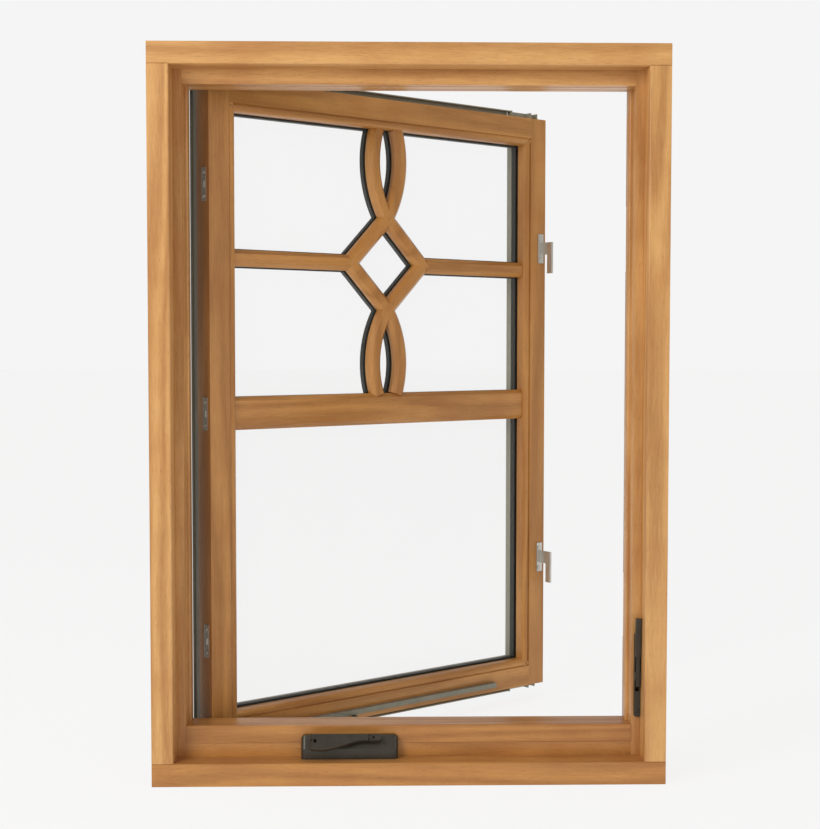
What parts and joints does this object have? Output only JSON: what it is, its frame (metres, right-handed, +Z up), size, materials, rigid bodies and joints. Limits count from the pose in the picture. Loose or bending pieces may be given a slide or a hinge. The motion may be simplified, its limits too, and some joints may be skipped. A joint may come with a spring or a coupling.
{
  "type": "casement window sash with crank",
  "caption": "Wooden casement window in its frame, cranked open, with a diamond grille, folding crank operator and side lock.",
  "frame": {"origin": "middle of the underside of the wooden sill", "axes": "+X along the sill towards the lock side, +Y outdoors, +Z up"},
  "size_m": [0.84, 0.62, 1.202],
  "materials": {
    "frame_wood": "clear satin coat",
    "sash_wood": "clear satin coat",
    "exterior_cladding": "satin",
    "glass": "clear",
    "black_spacer": "satin black",
    "weatherstrip": "matte",
    "dark_bronze": "satin",
    "plated_steel": "satin"
  },
  "bodies": {
    "frame": {"frame_clad_head": "exterior_cladding", "frame_clad_jambs": "exterior_cladding", "frame_clad_sill": "exterior_cladding", "frame_screws": "plated_steel", "frame_weatherstrip": "weatherstrip", "head_jamb": "frame_wood", "head_stop": "frame_wood", "hinge_jamb": "frame_wood", "hinge_side_stop": "frame_wood", "hinge_tracks": "plated_steel", "lever_pin": "plated_steel", "lock_escutcheon": "dark_bronze", "lock_jamb": "frame_wood", "lock_side_stop": "frame_wood", "operator_base": "plated_steel", "operator_cover": "dark_bronze", "sill": "frame_wood", "sill_lower_board": "frame_wood", "sill_upper_board": "frame_wood"},
    "hinge_arm_lower": {"hinge_arm_lower": "plated_steel"},
    "hinge_arm_upper": {"hinge_arm_upper": "plated_steel"},
    "hinge_shoe_lower": {"hinge_shoe_lower": "plated_steel"},
    "hinge_shoe_upper": {"hinge_shoe_upper": "plated_steel"},
    "operator_arm": {"operator_arm": "plated_steel", "operator_gear": "plated_steel"},
    "arm_shoe": {"arm_shoe": "plated_steel"},
    "worm": {"worm_shaft": "plated_steel"},
    "crank": {"crank_stud": "plated_steel", "crank_hub": "dark_bronze", "hub_fold_pin": "plated_steel"},
    "crank_arm": {"crank_arm": "dark_bronze", "knob_pin": "plated_steel"},
    "crank_knob": {"crank_knob": "dark_bronze"},
    "lock_lever": {"lock_lever": "dark_bronze"},
    "tie_bar": {"tie_bar": "plated_steel"},
    "sash": {"sash_hinge_stile": "sash_wood", "sash_lock_stile": "sash_wood", "sash_top_rail": "sash_wood", "sash_bottom_rail": "sash_wood", "inner_pane": "glass", "outer_pane": "glass", "pane_spacer": "black_spacer", "check_rail": "sash_wood", "diamond": "sash_wood", "hinge_side_muntin": "sash_wood", "lock_side_muntin": "sash_wood", "upper_bow_hinge_side": "sash_wood", "upper_bow_lock_side": "sash_wood", "lower_bow_hinge_side": "sash_wood", "lower_bow_lock_side": "sash_wood", "black_grille": "black_spacer", "outer_grille": "exterior_cladding", "sash_clad_hinge": "exterior_cladding", "sash_clad_lock": "exterior_cladding", "sash_clad_rails": "exterior_cladding", "sash_screws": "plated_steel", "sash_hinge_arms": "plated_steel", "sash_track": "plated_steel", "keepers": "plated_steel", "sash_snubbers": "plated_steel"}
  },
  "joints": [
    {"name": "sash_swing", "type": "hinge", "parent": "frame", "child": "hinge_arm_lower", "pos_m": [-0.20125, 0.07, 0.03], "axis": [0, 0, -1], "range_deg": [-36.85, 23.15]},
    {"name": "arm_to_sash_lower", "type": "hinge", "parent": "hinge_arm_lower", "child": "sash", "pos_m": [-0.27047, 0.12188, 0.033], "axis": [0, 0, 1], "range_deg": [-73.7, 46.3]},
    {"name": "hinge_arm_upper_turn", "type": "hinge", "parent": "frame", "child": "hinge_arm_upper", "pos_m": [-0.20125, 0.07, 1.173], "axis": [0, 0, -1], "range_deg": [-36.85, 23.15]},
    {"name": "hinge_shoe_lower_turn", "type": "hinge", "parent": "sash", "child": "hinge_shoe_lower", "pos_m": [-0.33969, 0.07, 0.029], "axis": [0, 0, -1], "range_deg": [-36.85, 23.15]},
    {"name": "hinge_shoe_upper_turn", "type": "hinge", "parent": "sash", "child": "hinge_shoe_upper", "pos_m": [-0.33969, 0.07, 1.174], "axis": [0, 0, -1], "range_deg": [-36.85, 23.15]},
    {"name": "operator_arm_swing", "type": "hinge", "parent": "frame", "child": "operator_arm", "pos_m": [-0.04439, 0.002, 0.044], "axis": [0, 0, 1], "range_deg": [-93.46, 58.72]},
    {"name": "arm_shoe_turn", "type": "hinge", "parent": "operator_arm", "child": "arm_shoe", "pos_m": [-0.09572, 0.21593, 0.052], "axis": [0, 0, -1], "range_deg": [-56.61, 35.57]},
    {"name": "worm_spin", "type": "hinge", "parent": "frame", "child": "worm", "pos_m": [-0.04439, -0.0147, 0.051], "axis": [1, 0, 0], "range_deg": [-690, 432]},
    {"name": "crank_spin", "type": "hinge", "parent": "frame", "child": "crank", "pos_m": [-0.146, -0.042, 0.068], "axis": [0, -0.7547, 0.6561], "range_deg": [-690, 432]},
    {"name": "crank_fold", "type": "hinge", "parent": "crank", "child": "crank_arm", "pos_m": [-0.1585, -0.04336, 0.06918], "axis": [0, -0.6561, -0.7547], "range_deg": [0, 165]},
    {"name": "knob_fold", "type": "hinge", "parent": "crank_arm", "child": "crank_knob", "pos_m": [-0.0631, -0.03821, 0.07358], "axis": [0, 0.6561, 0.7547], "range_deg": [0, 90]},
    {"name": "lock_lever_turn", "type": "hinge", "parent": "frame", "child": "lock_lever", "pos_m": [0.37875, -0.022, 0.172], "axis": [1, 0, 0], "range_deg": [0, 150]},
    {"name": "tie_bar_slide", "type": "slide", "parent": "frame", "child": "tie_bar", "axis": [0, 0, 1], "range_m": [0, 0.03]}
  ],
  "couplings": [
    {"joint": "arm_to_sash_lower", "follows": "sash_swing", "ratio": 2},
    {"joint": "hinge_arm_upper_turn", "follows": "sash_swing", "ratio": 1},
    {"joint": "hinge_shoe_lower_turn", "follows": "sash_swing", "ratio": 1},
    {"joint": "hinge_shoe_upper_turn", "follows": "sash_swing", "ratio": 1},
    {"joint": "operator_arm_swing", "follows": "sash_swing", "ratio": 2.536},
    {"joint": "arm_shoe_turn", "follows": "sash_swing", "ratio": 1.536},
    {"joint": "worm_spin", "follows": "sash_swing", "ratio": 18.597},
    {"joint": "crank_spin", "follows": "sash_swing", "ratio": 18.597},
    {"joint": "knob_fold", "follows": "crank_fold", "ratio": 0.545},
    {"joint": "tie_bar_slide", "follows": "lock_lever_turn", "m_per_rad": 0.011458}
  ]
}
